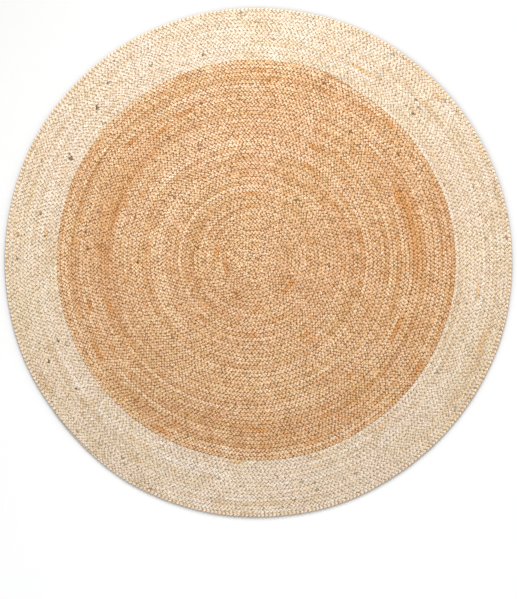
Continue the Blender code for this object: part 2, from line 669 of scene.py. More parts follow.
STRANDS_SHOWN = 2  # lobes that a row shows for each pitch
YARN_PATTERNS = 50  # how many stretches of the yarn's pattern the pieces draw from


@dataclass(frozen=True)
class Lobes:
    """The places where the strands come up and cross over, in two columns a row."""

    pitch: float
    shoulder: float = 0.19
    relief: float = 1.0  # how far the lobes stand up from their edges
    spread: float = 1.0  # how far they reach across the row
    outer_lead: float = 0.0042  # how far an outer lobe starts ahead of the inner one before it
    unevenness_along: float = 0.00040
    unevenness_aside: float = 0.00015
    unevenness_height: float = 0.00020
    unevenness_width: float = 0.06
    unevenness_turn: float = math.radians(3.0)
    unevenness_tilt: float = 0.00020
    roughness: float = 0.00016  # how far each point of a lobe strays
    rise_roughness: float = 0.7  # the same in height, as a share of it
    # Shade painted at a lobe's edges:
    seam_shade: float = 0.62  # of the edge over the lobe before, as a share of its full shade
    groove_shade: float = 1.7  # of the edge along the groove
    yarn_length: float = 1.6  # how much of the yarn's pattern a lobe shows
    mapped: Tuple[float, float] = (0.02, 0.48)  # share of the row that a lobe's map covers

    def vertices(self, shape: LobeShape) -> np.ndarray:
        """Vertices of one lobe at this plait's size.

        Args:
            shape: the lobe's shape.

        Returns:
            The table that the shape gives, scaled.
        """
        table = shape.vertices(self.shoulder)
        height = table[:, 2]
        raised = EDGE_HEIGHT + (height - EDGE_HEIGHT) * self.relief
        table[:, 0] *= self.pitch / DRAWN_PITCH
        table[:, 1] *= self.spread
        table[:, 2] = np.where(height > EDGE_HEIGHT, raised, height)
        return table

    def strayed(self, table: np.ndarray, count: int,
                draw: np.random.Generator) -> Tuple[np.ndarray, np.ndarray, np.ndarray]:
        """Copy a lobe, with each copy a little different.

        Args:
            table: the lobe's vertices.
            count: how many copies.
            draw: where the random numbers come from.

        Returns:
            Along, aside and height of the vertices, one row for each copy.
        """
        along, aside, height, sunk, _, across = table.T

        def uneven(size: float) -> np.ndarray:
            """One draw for each lobe."""
            return size * draw.standard_normal((count, 1))

        turn = uneven(self.unevenness_turn)
        grow = 1 + uneven(self.unevenness_width)
        ahead, outward = (along - along.mean()) * grow, (aside - aside.mean()) * grow
        along = along.mean() + ahead * np.cos(turn) - outward * np.sin(turn)
        aside = aside.mean() + ahead * np.sin(turn) + outward * np.cos(turn)
        along = along + uneven(self.unevenness_along)
        aside = aside + uneven(self.unevenness_aside)
        tilt = uneven(self.unevenness_tilt) * np.sign(across - 0.5)
        height = height + (sunk < 1.0) * (uneven(self.unevenness_height) + tilt)
        along = along + self.roughness * draw.standard_normal(along.shape)
        aside = aside + self.roughness * draw.standard_normal(aside.shape)
        rough = self.rise_roughness * self.roughness
        height = height + rough * draw.standard_normal(height.shape)
        return along, aside, height

    def lay(self, plait: Plaited, column: Column, runs: np.ndarray, order: np.ndarray,
            yarn: YarnColour) -> Parcel:
        """Lay one column of lobes along a plait.

        Args:
            plait: the plait.
            column: which side of the middle line.
            runs: where along the plait each lobe is.
            order: each lobe's place in the plaiting.
            yarn: how the colour varies.

        Returns:
            The arrays of all the lobes.
        """
        inner = column is Column.INNER
        shape = INNER_LOBE if inner else OUTER_LOBE
        draw = np.random.default_rng(yarn.seed + (Draw.INNER_LOBES if inner else Draw.OUTER_LOBES))
        table = self.vertices(shape)
        sunk, share, across = table[:, 3:].T
        count = len(runs)
        along, aside, height = self.strayed(table, count, draw)
        full = plait.fullness(plait.step_at(runs))[:, None]
        height = COIL.groove_height + (height - COIL.groove_height) * full**0.5
        places = runs[:, None] - along * np.sqrt(full)
        points = plait.place(places, column.value * aside, height)
        own_part = np.clip(aside, self.mapped[0] * COIL.row, self.mapped[1] * COIL.row)
        flat = plait.place(places, column.value * own_part, height)[:, :, :2]
        # How much shade is painted at each vertex.
        shade = sunk * np.where(across < 0.5, self.seam_shade, self.groove_shade)
        fields = yarn.at(order, points.mean(axis=1))
        fields["painted_shade"] = np.tile(np.minimum(1.0, shade), count)
        own = draw.uniform(0, YARN_PATTERNS, (count, 1))
        yarn_run = np.stack([share * self.yarn_length + own, across + own.round()], axis=2)
        parcel = Parcel.of_copies(shape.form(), points, fields, yarn_run, flat)
        if not inner:
            parcel.corners = turned_over(parcel.corners, parcel.sizes)
        return parcel


def turned_over(corners: np.ndarray, sizes: np.ndarray) -> np.ndarray:
    """Turn faces over, so that a mirrored form faces outwards.

    Args:
        corners: vertex of each face corner.
        sizes: number of corners of each face.

    Returns:
        The corners, with those of each face in the opposite order.
    """
    starts = np.repeat(np.cumsum(sizes) - sizes, sizes)
    within = np.arange(len(corners)) - starts
    return corners[starts + np.repeat(sizes, sizes) - 1 - within]


# ------------------------------------------------------------
# The plait's body and underside
# ------------------------------------------------------------


@dataclass(frozen=True)
class PlaitBody:
    """The body of a plait: a flat cord wound edge to edge, with its lobes on the underside."""

    top: float
    groove: float = 0.0019  # height of the groove between two rows, underneath
    middle: float = 0.0011  # height of the row's middle line, underneath
    # shade painted at the row's middle line, underneath
    middle_shade: float = 0.8
    lean: float = 0.69  # how far a lobe leans along the row from its edge to the middle, in pitches
    rim_inset: float = 0.0016  # how far the outermost row stays inside the strands round it

    def section(self) -> Tuple[Tuple[float, float, float, float], ...]:
        """Vertices of one cross-section.

        Returns:
            For each vertex how far along the row in pitches, how far aside as a share of half a
            row, its height and its painted shade.
        """
        belly = 0.5 - self.lean / 2
        return (
            (0.0, -1.0, self.top, 1.0),
            (0.0, 1.0, self.top, 1.0),
            (0.0, -1.0, self.groove, 1.0),
            (0.0, 1.0, self.groove, 1.0),
            (-self.lean, 0.0, self.middle, self.middle_shade),
            (belly, -0.5, 0.0, 0.0),
            (belly, 0.5, 0.0, 0.0),
        )

    @staticmethod
    def faces(after: int) -> Tuple[Form, Form]:
        """Faces between one cross-section and the next.

        Args:
            after: number of vertices in a cross-section, which the next one's numbers add.

        Returns:
            The face on top, and those on the sides and underneath.
        """
        top = [(0, after, after + 1, 1)]
        under = [(0, 2, after + 2, after), (1, after + 1, after + 3, 3)]
        round_inner = (2, 4, after + 4, after + 2)
        round_outer = (4, 3, after + 3, after + 4)
        for belly, ring in ((5, round_inner), (6, round_outer)):
            for corner, following in zip(ring, ring[1:] + ring[:1]):
                under.append((corner, following, belly))
        return Form(top, after), Form(under, after)

    def parcel(self, plait: Plaited, pitch: float, yarn: YarnColour,
               rim: bool) -> Tuple[Parcel, int]:
        """Arrays of the body.

        Args:
            plait: the plait.
            pitch: length of one lobe along the row.
            yarn: how the colour varies.
            rim: whether the last turn is the rug's rim.

        Returns:
            The arrays, and how many of the faces come first and lie on top.
        """
        count = int(plait.length() / pitch)
        runs = np.linspace(0.0, plait.length(), count + 1)
        at_rim = rim * (plait.step_at(runs) > RIM_START)
        inner, outer = COIL.row / 2, COIL.row / 2 - self.rim_inset * at_rim
        section = self.section()
        points = []
        for ahead, aside, height, _ in section:
            reach = aside * (outer if aside > 0 else inner)
            level = np.full(count + 1, height)
            points.append(plait.place(runs + ahead * pitch, reach, level))
        points = np.stack(points, axis=1)
        fields = yarn.at(STRANDS_SHOWN * np.arange(count + 1), points[:, 5])
        # Painted shade on the body's sides, which lie under the lobes, and none at its lowest
        # points.
        fields["painted_shade"] = np.tile([spot[3] for spot in section], count + 1)
        along = np.repeat(runs[:, None] / COIL.row, len(section), axis=1)
        across = np.tile([(1 + spot[1]) / 2 for spot in section], (count + 1, 1))
        top, under = self.faces(len(section))
        parcel = Parcel.of_copies(top, points, fields, np.stack([along, across], axis=2),
                                  points[:, :, :2])
        last = count * len(section)
        ends = [(0, 1, 3, 4, 2), (last + 2, last + 4, last + 3, last + 1, last)]
        parcel.corners = np.concatenate(
            [top.corners(count), under.corners(count), np.array(ends).ravel()]
        )
        parcel.sizes = np.concatenate([top.sizes(count), under.sizes(count), [5, 5]])
        return parcel, count


# ------------------------------------------------------------
# The rim
# ------------------------------------------------------------


@dataclass(frozen=True)
class RimStrands:
    """The strands of the outermost row, which turn over the rug's edge from top to underside."""

    half_width: float = 0.0031
    half_thickness: float = 0.0015
    sides: int = 6
    # Where the rings lie, from -1 at the end underneath to 1 at the end on top.
    sections: Tuple[float, ...] = (-0.86, -0.6, -0.32, -0.1, 0.1, 0.32, 0.6, 0.86)
    edge_aside: float = 0.0031  # how far out the middle line lies where it turns over
    tail_aside: float = -0.0012  # how far out its ends lie
    aside_power: float = 1.6
    lead: float = 0.0008  # how far it slants along the row on the way
    tail_ahead: float = 0.0054  # how far its ends run on along the row
    ahead_power: float = 1.15
    tail_sag: float = 0.0022  # how far its ends dip into the plait
    sags_from: float = 0.62
    level_from: float = 0.45  # where it has come round to the top
    faces_up_from: float = 0.4
    course_reach: float = 0.02  # to either side, for the way it runs at a place
    groove_power: int = 4  # how closely the painted shade keeps to the strand's sides
    unevenness: Tuple[float, float, float] = (0.0004, 0.00015, 0.0001)
    yarn_length: float = 1.2  # how much of the yarn's pattern a strand shows

    def form(self) -> Form:
        """Faces of one strand.

        Returns:
            A point, rings, and a point.
        """
        sides, rings = self.sides, len(self.sections)
        faces: List[Tuple[int, ...]] = []
        for side in range(sides):
            after = (side + 1) % sides
            faces.append((0, 1 + after, 1 + side))
            for ring in range(rings - 1):
                near = 1 + sides * ring
                far = near + sides
                faces.append((near + side, near + after, far + after, far + side))
            last = 1 + sides * (rings - 1)
            faces.append((last + side, last + after, last + sides))
        return Form(faces, sides * rings + 2)

    def line(self, part: np.ndarray) -> np.ndarray:
        """Middle line of a strand.

        Args:
            part: places on it, from -1 at its end underneath to 1 at its end on top.

        Returns:
            For each place how far along the row, how far aside, and its height.
        """
        out = np.abs(part)
        side = np.sign(part)
        middle = COIL.thickness / 2
        tail = (self.tail_ahead + self.lead) * out**self.ahead_power
        ahead = side * (self.lead * out + tail)
        aside = self.edge_aside + (self.tail_aside - self.edge_aside) * out**self.aside_power
        turning = np.minimum(1.0, out / self.level_from) * math.pi / 2
        rise = (middle - self.half_thickness) * np.sin(turning)
        sagging = np.clip((out - self.sags_from) / (1 - self.sags_from), 0.0, 1.0)
        sag = self.tail_sag * sagging**2
        return np.stack([ahead, aside, middle + side * (rise - sag)], axis=-1)

    def strand(self, part: np.ndarray) -> Tuple[np.ndarray, np.ndarray, np.ndarray]:
        """Vertices of one strand.

        Args:
            part: places of its point, its rings and its other point on the middle line.

        Returns:
            The vertices, their painted shades, and how far round the strand they lie.
        """
        line = self.line(part)
        tangent = self.line(part + self.course_reach) - self.line(part - self.course_reach)
        tangent /= np.linalg.norm(tangent, axis=1, keepdims=True)
        lift = np.clip(part / self.faces_up_from, -1.0, 1.0) * math.pi / 2
        facing = np.stack([0 * part, np.cos(lift), np.sin(lift)], axis=1)
        across = np.cross(tangent, facing)
        across /= np.linalg.norm(across, axis=1, keepdims=True)
        outward = np.cross(across, tangent)
        spots, sunk, spin = [line[0]], [1.0], [0.0]
        for ring in range(1, len(part) - 1):
            for side in range(self.sides):
                angle = TAU * side / self.sides
                level = line[ring] + across[ring] * self.half_width * math.cos(angle)
                spots.append(level + outward[ring] * self.half_thickness * math.sin(angle))
                sunk.append(abs(math.cos(angle)) ** self.groove_power)
                spin.append(side / self.sides)
        spots.append(line[-1])
        return np.array(spots), np.array(sunk + [1.0]), np.array(spin + [0.0])

    def lay(self, plait: Plaited, runs: np.ndarray, order: np.ndarray, yarn: YarnColour) -> Parcel:
        """Lay the strands round the rim.

        Args:
            plait: the plait whose last turn is the rim.
            runs: where along the plait each strand is.
            order: each strand's place in the plaiting.
            yarn: how the colour varies.

        Returns:
            The arrays of all the strands.
        """
        part = np.array((-1.0,) + self.sections + (1.0,))
        spots, sunk, spin = self.strand(part)
        count = len(runs)
        draw = np.random.default_rng(yarn.seed + Draw.RIM)
        spots = spots[None] + draw.standard_normal((count, 1, 3)) * self.unevenness
        full = plait.fullness(plait.step_at(runs))[:, None]
        middle = COIL.thickness / 2
        height = np.maximum(middle + (spots[:, :, 2] - middle) * full**0.3, 0.0)
        points = plait.place(runs[:, None] - spots[:, :, 0], spots[:, :, 1], height)
        fields = yarn.at(order, points.mean(axis=1))
        fields["painted_shade"] = np.tile(sunk, count)
        along = np.concatenate([part[:1], np.repeat(part[1:-1], self.sides), part[-1:]])
        own = draw.uniform(0, YARN_PATTERNS, (count, 1))
        yarn_run = np.stack([along * self.yarn_length + own, spin + own.round()], axis=2)
        return Parcel.of_copies(self.form(), points, fields, yarn_run, points[:, :, :2])


# ------------------------------------------------------------
# Loose fibres and sewing thread
# ------------------------------------------------------------


def spindles(lines: np.ndarray, radius: np.ndarray) -> Tuple[np.ndarray, Form]:
    """Thin closed strands, pointed at both ends.

    Args:
        lines: the middle line of each strand: its start, two points between, and its end.
        radius: thickness of each strand, from its middle to its side.

    Returns:
        The points of all the strands, and the faces of one.
    """
    start, end = lines[:, 0], lines[:, 3]
    course = end - start
    course /= np.linalg.norm(course, axis=1, keepdims=True)
    side = np.cross(course, np.array([0.0, 0.0, 1.0]))
    side /= np.linalg.norm(side, axis=1, keepdims=True)
    rise = np.cross(side, course)
    points = [start]
    for ring in (1, 2):
        for corner in range(3):
            angle = TAU * corner / 3 + TAU / 4
            offset = side * math.cos(angle) + rise * math.sin(angle)
            points.append(lines[:, ring] + offset * radius[:, None])
    points.append(end)
    faces: List[Tuple[int, ...]] = []
    for near in (1, 2, 3):
        after = near % 3 + 1
        faces += [(0, near, after), (after, near, near + 3, after + 3), (after + 3, near + 3, 7)]
    return np.stack(points, axis=1), Form(faces, 8)


def strand_parcel(lines: np.ndarray, radius: np.ndarray, tone: np.ndarray, blush: np.ndarray,
                  stain: np.ndarray) -> Parcel:
    """Arrays of thin closed strands, with no knots and no shade.

    Args:
        lines: the middle line of each strand, four points each.
        radius: thickness of each strand.
        tone: tone of each strand.
        blush: how rosy each strand is.
        stain: how stained each strand is.

    Returns:
        The arrays.
    """
    points, form = spindles(lines, radius)
    none = np.zeros(len(lines))
    fields = {"tone": tone, "blush": blush, "stain": stain, "fleck": none, "painted_shade": none}
    along = np.array([0.0, 0.33, 0.33, 0.33, 0.66, 0.66, 0.66, 1.0])
    around = np.array([0.5, 0.0, 0.33, 0.66, 0.0, 0.33, 0.66, 0.5])
    own = np.arange(len(lines))[:, None] * 0.37
    yarn_run = np.stack([along + own, around + 0 * own], axis=2)
    return Parcel.of_copies(form, points, fields, yarn_run, points[:, :, :2])


@dataclass(frozen=True)
class LooseFibres:
    """Fibres that have worked loose and lie across the plait."""

    count: int
    seed: int
    shortest: float = 0.004
    longest: float = 0.013
    radius: float = 0.00019
    height: float = 0.0086
    unevenness: float = 0.0002  # in height
    bow: float = 0.10  # how far a fibre bends aside, as a share of its length
    dark_share: float = 0.45
    dark_stain: float = 0.7
    spread: float = math.radians(50)  # how far they turn from the way of the row
    end_clear: float = 0.01
    rim_clear: float = 0.004
    course: Tuple[Tuple[float, float, float], ...] = (
        # share of the length, share of the bow, lift in millimetres
        (-0.5, 0.0, -0.7),
        (-0.17, 1.0, 0.0),
        (0.17, 1.0, 0.1),
        (0.5, 0.0, -0.6),
    )

    def lay(self, plait: Plaited) -> Parcel:
        """Lay the fibres over a plait.

        Args:
            plait: the plait.

        Returns:
            The arrays of all the fibres.
        """
        draw = np.random.default_rng(self.seed)
        count = self.count
        runs = draw.uniform(self.end_clear, plait.length() - self.end_clear, count)
        aside = draw.uniform(-0.5, 0.5, count) * COIL.row
        turn = draw.normal(0.0, self.spread, count)
        length = draw.uniform(self.shortest, self.longest, count)
        bow = draw.normal(0.0, self.bow, count) * length
        at_rim = plait.step_at(runs) > RIM_START
        lines = []
        for share, bent, lift in self.course:
            along = length * share * np.cos(turn) - bow * bent * np.sin(turn)
            across = aside + (length * share * np.sin(turn) + bow * bent * np.cos(turn))
            kept_in = np.minimum(across, COIL.row / 2 - self.rim_clear)
            uneven = draw.uniform(-self.unevenness, self.unevenness, count)
            height = self.height + uneven + lift * MILLI
            lines.append(plait.place(runs + along, np.where(at_rim, kept_in, across), height))
        dark = draw.uniform(0, 1, count) < self.dark_share
        tone = np.where(dark, draw.uniform(0.0, 0.3, count), draw.uniform(0.8, 1.0, count))
        blush = draw.uniform(0, 1, count)
        radius = self.radius * draw.uniform(0.7, 1.4, count)
        return strand_parcel(np.stack(lines, axis=1), radius, tone, blush, self.dark_stain * dark)


@dataclass(frozen=True)
class SewingThread:
    """The thread that sews each turn to the one before, where it shows in the grooves."""

    seed: int = 7
    stitch: float = 0.0046
    reach: float = 0.0011  # how far a stitch goes to either side of the groove
    radius: float = 0.00027
    height: float = 0.0075
    arch: float = 0.0003
    course: Tuple[Tuple[float, float, float], ...] = (
        # share of the length, share of the reach, share of the arch
        (0.0, -1.0, -1.4),
        (0.35, -0.35, 1.0),
        (0.65, 0.35, 1.0),
        (1.0, 1.0, -1.4),
    )

    def lay(self, plait: Plaited, stretches: Sequence[Tuple[float, float]]) -> Parcel:
        """Sew along the inner groove of some stretches of a plait.

        Args:
            plait: the plait.
            stretches: first and last turn of each stretch.

        Returns:
            The arrays of all the stitches.
        """
        step, length = plait.ruler()
        runs = []
        for first, last in stretches:
            low, high = np.interp([first * COIL.steps, last * COIL.steps], step, length)
            runs.append(np.arange(low, high, self.stitch / 2))
        starts = np.concatenate(runs)
        count = len(starts)
        side = np.where(np.arange(count) % 2 == 0, 1.0, -1.0) * self.reach
        lines = []
        for share, across, lift in self.course:
            height = np.full(count, self.height + lift * self.arch)
            aside = across * side - COIL.row / 2
            lines.append(plait.place(starts + share * self.stitch / 2, aside, height))
        tone = np.random.default_rng(self.seed).uniform(0.3, 0.6, count)
        none = np.zeros(count)
        radius = np.full(count, self.radius)
        return strand_parcel(np.stack(lines, axis=1), radius, tone, none, none)


# ------------------------------------------------------------
# Finishes
# ------------------------------------------------------------


STREWN_ANGLES = (35.0, -20.0, -55.0, 80.0)  # which ways fibres lie across the strands
STREWN_FINENESS = (150.0, 1500.0, 0.0)  # how often they change along and across, in a metre


class Board:
    """A material's nodes, with short calls to add and link them."""

    def __init__(self, name: str) -> None:
        """Start a material.

        Args:
            name: the material's name.
        """
        self.material = bpy.data.materials.new(name)
        self.material.use_nodes = True
        self.tree = self.material.node_tree
        self.shader = self.tree.nodes["Principled BSDF"]

    def add(self, kind: str, inputs: Dict[str, object], **settings: object) -> bpy.types.Node:
        """Add a node.

        Args:
            kind: the node's type, without the leading ShaderNode.
            inputs: for each input, a value or the socket that feeds it.
            settings: the node's own properties.

        Returns:
            The node.
        """
        node = self.tree.nodes.new("ShaderNode" + kind)
        for key, value in settings.items():
            setattr(node, key, value)
        for key, value in inputs.items():
            self.feed(node, key, value)
        return node

    def feed(self, node: bpy.types.Node, key: object, value: object) -> None:
        """Set an input to a value, or link a socket to it.

        Args:
            node: the node.
            key: name or number of the input.
            value: the value, or the socket.
        """
        if isinstance(value, Socket):
            self.tree.links.new(value, node.inputs[key])
        else:
            node.inputs[key].default_value = value

    def finished(self, inputs: Dict[str, object]) -> bpy.types.Material:
        """Set the shader's inputs.

        Args:
            inputs: for each input, a value or the socket that feeds it.

        Returns:
            The material.
        """
        for key, value in inputs.items():
            self.feed(self.shader, key, value)
        return self.material

    def field(self, name: str) -> Socket:
        """A field of the mesh, as a number."""
        return self.add("Attribute", {}, attribute_name=name).outputs["Fac"]

    def noise(self, place: object, **inputs: float) -> Socket:
        """Noise from 0 to 1, with inputs such as Scale and Detail."""
        return self.add("TexNoise", {"Vector": place, **inputs}).outputs["Fac"]

    def math(self, operation: str, *values: object, clamp: bool = False) -> Socket:
        """Work out one number from others."""
        node = self.add("Math", dict(enumerate(values)), operation=operation, use_clamp=clamp)
        return node.outputs[0]

    def times(self, first: object, second: object) -> Socket:
        """Multiply two numbers."""
        return self.math("MULTIPLY", first, second)

    def plus(self, first: object, second: object) -> Socket:
        """Add two numbers."""
        return self.math("ADD", first, second)

    def off(self, value: object, centre: float) -> Socket:
        """How far a number is from a centre, with its sign."""
        return self.math("SUBTRACT", value, centre)

    def mix(self, share: object, first: object, second: object) -> Socket:
        """Mix two colours.

        Args:
            share: how much of the second one there is.
            first: the first colour.
            second: the second colour.

        Returns:
            The mixed colour.
        """
        node = self.add("Mix", {}, data_type="RGBA")
        for index, value in ((0, share), (6, first), (7, second)):
            self.feed(node, index, value)
        return node.outputs[2]

    def strewn(self, angle: float) -> Socket:
        """Thin fibres that lie across the plait about one way, as a mask of 0 and 1.

        Args:
            angle: which way most of them lie, in degrees from the X axis.

        Returns:
            The mask.
        """
        place = self.add("TexCoord", {}).outputs["Object"]
        turn = (0.0, 0.0, math.radians(angle))
        turned = self.add("Mapping", {"Vector": place, "Rotation": turn}).outputs[0]
        drawn = self.add("Mapping", {"Vector": turned, "Scale": STREWN_FINENESS}).outputs[0]
        return self.ease(self.noise(drawn, Scale=1.0, Detail=1.0, Distortion=0.6), 0.60, 0.66)

    def ease(self, value: object, low: float, high: float) -> Socket:
        """Rise smoothly from 0 at low to 1 at high.

        Args:
            value: the number that is eased.
            low: where the rise starts.
            high: where it ends.

        Returns:
            The eased number.
        """
        inputs = {"Value": value, "From Min": low, "From Max": high}
        node = self.add("MapRange", inputs, interpolation_type="SMOOTHSTEP")
        return node.outputs["Result"]

    def bump(self, height: object, strength: float, distance: float) -> None:
        """Give the surface a fine relief.

        Args:
            height: the relief, as shares of the distance.
            strength: how strongly it shows.
            distance: how deep it is.
        """
        inputs = {"Height": height, "Strength": strength, "Distance": distance}
        self.feed(self.shader, "Normal", self.add("Bump", inputs).outputs["Normal"])


@dataclass(frozen=True)
class JuteFinish:
    """Jute yarn: its tones, its fibres along each strand, and the shade painted between strands."""

    name: str
    tones: Tuple[Tuple[float, Colour], ...]
    blush: Colour
    straw: Colour
    stain: Colour
    fleck: Colour
    # colour of the shade painted at the edges of lobes and strands
    shade: Colour
    blush_most: float = 0.22
    shade_most: float = 0.95
    shade_full: float = 0.85  # where the painted shade is at its strongest
    bundle_tone: float = 0.66
    bundle_fineness: Tuple[float, float] = (1.1, 6.0)
    hair_tone: float = 0.70
    hair_fineness: Tuple[float, float] = (2.4, 24.0)
    fibre_relief: float = 0.0008
    roughness: float = 0.78
    specular: float = 0.2
    sheen: float = 0.12
    sheen_roughness: float = 0.5
    sheen_tint: Colour = (0.80, 0.50, 0.24, 1.0)
    stain_least: float = 0.35  # how much of a stain the palest fibres take
    stain_range: float = 0.9
    fleck_least: float = 0.65
    dark_fibres: float = 0.3  # how strongly fine fibres show that lie across the strands
    pale_fibres: float = 0.3

    @staticmethod
    def fibres(board: Board, run: Socket, fineness: Tuple[float, float], detail: float) -> Socket:
        """Noise drawn out along the yarn.

        Args:
            board: the material's nodes.
            run: the map that follows the yarn.
            fineness: how often it changes along a lobe and across it.
            detail: how many finer layers it has.

        Returns:
            The noise, from 0 to 1.
        """
        drawn = board.add("Mapping", {"Vector": run, "Scale": (*fineness, 1.0)}).outputs[0]
        return board.ease(board.noise(drawn, Scale=1.0, Detail=detail, Roughness=0.6), 0.32, 0.68)

    def toned(self, board: Board, bundles: Socket, hairs: Socket) -> Socket:
        """Colour of clean yarn.

        Args:
            board: the material's nodes.
            bundles: noise of the bundles of fibres.
            hairs: noise of single fibres.

        Returns:
            The colour.
        """
        spread = board.times(board.off(bundles, 0.5), self.bundle_tone)
        fine = board.times(board.off(hairs, 0.5), self.hair_tone)
        tone = board.plus(board.field("tone"), board.plus(spread, fine))
        ramp = board.add("ValToRGB", {"Fac": tone})
        stops = ramp.color_ramp.elements
        while len(stops) < len(self.tones):
            stops.new(0.5)
        for stop, (place, colour) in zip(stops, self.tones):
            stop.position = place
            stop.color = colour
        return ramp.outputs["Color"]

    def marked(self, board: Board, colour: Socket, run: Socket, bundles: Socket) -> Socket:
        """Add what is uneven in the yarn: rosy and straw parts, stains and dark knots.

        Args:
            board: the material's nodes.
            colour: the yarn's colour.
            run: the map that follows the yarn.
            bundles: noise of the bundles of fibres.

        Returns:
            The new colour.
        """
        blush = board.times(board.ease(board.field("blush"), 0.5, 1.0), self.blush_most)
        colour = board.mix(blush, colour, self.blush)
        straw = board.times(board.ease(board.field("blush"), 0.5, 0.0), self.blush_most)
        colour = board.mix(straw, colour, self.straw)
        patchy = board.plus(self.stain_least, board.times(bundles, self.stain_range))
        colour = board.mix(board.times(board.field("stain"), patchy), colour, self.stain)
        speckle = board.ease(board.noise(run, Scale=1.3, Detail=2.0, Roughness=0.5), 0.35, 0.6)
        uneven = board.plus(self.fleck_least, board.times(1 - self.fleck_least, speckle))
        return board.mix(board.times(board.field("fleck"), uneven), colour, self.fleck)

    def strewn(self, board: Board, colour: Socket) -> Socket:
        """Add the fine fibres that lie across the strands.

        Args:
            board: the material's nodes.
            colour: the yarn's colour.

        Returns:
            The new colour.
        """
        dark = (self.dark_fibres, self.tones[0][1])
        pale = (self.pale_fibres, self.tones[-1][1])
        for angle, (share, fibre) in zip(STREWN_ANGLES, (dark, dark, pale, pale)):
            colour = board.mix(board.times(board.strewn(angle), share), colour, fibre)
        return colour

    def material(self) -> bpy.types.Material:
        """Make the material.

        Returns:
            The material.
        """
        board = Board(self.name)
        run = board.add("UVMap", {}, uv_map="yarn_run").outputs["UV"]
        bundles = self.fibres(board, run, self.bundle_fineness, 3.0)
        hairs = self.fibres(board, run, self.hair_fineness, 2.0)
        colour = self.marked(board, self.toned(board, bundles, hairs), run, bundles)
        colour = self.strewn(board, colour)
        # Painted shade: darker and more orange at the edges and ends of lobes, where shade falls
        # between strands.
        sunk = board.ease(board.field("painted_shade"), 0.0, self.shade_full)
        colour = board.mix(board.times(sunk, self.shade_most), colour, self.shade)
        board.bump(board.plus(bundles, board.times(hairs, 0.5)), 0.8, self.fibre_relief)
        return board.finished({
            "Base Color": colour,
            "Roughness": self.roughness,
            "Specular IOR Level": self.specular,
            "Sheen Weight": self.sheen,
            "Sheen Roughness": self.sheen_roughness,
            "Sheen Tint": self.sheen_tint,
        })


@dataclass(frozen=True)
class GrooveFinish:
    """Between the rows: jute in painted shade, with the thread that sews the rows together."""

    name: str
    # colour of the jute down between the rows, painted dark as shade
    jute: Colour
    thread: Colour
    fibre: Colour
    darkest: float = 0.55  # of the jute's fibres, as a share of its colour
    strewn: float = 0.35
    stitch: float = 0.30  # length of one stitch, in row widths
    thread_reach: float = 0.05  # how far a stitch reaches from the groove, in row widths
    thread_edge: Tuple[float, float] = (0.02, 0.05)
    relief: float = 0.0006
    roughness: float = 0.9
    specular: float = 0.2

    def off_thread(self, board: Board, run: Socket) -> Socket:
        """How far a place is from the thread, which runs to and fro over the groove.

        Args:
            board: the material's nodes.
            run: the map that follows the row.

        Returns:
            The distance in row widths.
        """
        split = board.add("SeparateXYZ", {"Vector": run})
        along, across = split.outputs[0], split.outputs[1]
        off_middle = board.math("ABSOLUTE", board.off(across, 0.5))
        off_groove = board.math("SUBTRACT", 0.5, off_middle)
        to_and_fro = board.math("PINGPONG", along, self.stitch / 2)
        zigzag = board.times(to_and_fro, 2 * self.thread_reach / self.stitch)
        return board.math("ABSOLUTE", board.math("SUBTRACT", off_groove, zigzag))

    def material(self) -> bpy.types.Material:
        """Make the material.

        Returns:
            The material.
        """
        board = Board(self.name)
        run = board.add("UVMap", {}, uv_map="yarn_run").outputs["UV"]
        away = board.ease(self.off_thread(board, run), *self.thread_edge)
        shown = board.math("SUBTRACT", 1.0, away)
        drawn = board.add("Mapping", {"Vector": run, "Scale": (2.0, 18.0, 1.0)}).outputs[0]
        fibres = board.noise(drawn, Scale=2.0, Detail=3.0)
        dark = tuple(self.darkest * channel for channel in self.jute[:3]) + (1.0,)
        jute = board.mix(board.ease(fibres, 0.3, 0.75), dark, self.jute)
        colour = board.mix(shown, jute, self.thread)
        for angle in STREWN_ANGLES:
            colour = board.mix(board.times(board.strewn(angle), self.strewn), colour, self.fibre)
        board.bump(board.plus(fibres, shown), 0.6, self.relief)
        return board.finished({
            "Base Color": colour,
            "Roughness": self.roughness,
            "Specular IOR Level": self.specular,
        })


def as_light(value: int) -> float:
    """One channel of a display colour, from 0 to 255, as light."""
    share = value / 255
    return share / 12.92 if share <= 0.04045 else ((share + 0.055) / 1.055) ** 2.4


def srgb(red: int, green: int, blue: int) -> Colour:
    """Colour from display values of 0 to 255."""
    return (as_light(red), as_light(green), as_light(blue), 1.0)


TAN_JUTE = JuteFinish(
    name="tan_jute_yarn",
    tones=(
        (0.00, srgb(150, 93, 40)),
        (0.25, srgb(187, 141, 86)),
        (0.50, srgb(212, 178, 136)),
        (0.75, srgb(227, 204, 169)),
        (1.00, srgb(239, 228, 210)),
    ),
    blush=srgb(218, 178, 152),
    straw=srgb(216, 190, 132),
    stain=srgb(197, 133, 66),
    fleck=srgb(56, 26, 6),
    shade=srgb(186, 112, 20),
)

CREAM_JUTE = JuteFinish(
    name="cream_jute_yarn",
    tones=(
        (0.00, srgb(162, 123, 69)),
        (0.25, srgb(200, 174, 135)),
        (0.50, srgb(216, 201, 181)),
        (0.75, srgb(227, 216, 204)),
        (1.00, srgb(238, 234, 228)),
    ),
    blush=srgb(219, 195, 181),
    straw=srgb(217, 205, 164),
    stain=srgb(207, 169, 117),
    fleck=srgb(52, 30, 10),
    shade=srgb(182, 124, 24),
    shade_most=0.6,
    bundle_tone=0.40,
    blush_most=0.18,
    hair_tone=0.34,
    dark_fibres=0.32,
    pale_fibres=0.40,
)

THREAD = JuteFinish(
    name="sewing_thread",
    tones=((0.0, srgb(96, 66, 30)), (0.5, srgb(140, 100, 50)), (1.0, srgb(176, 138, 84))),
    blush=srgb(140, 100, 50),
    straw=srgb(140, 104, 54),
    stain=srgb(110, 70, 30),
    fleck=srgb(80, 56, 30),
    shade=srgb(80, 56, 30),
)
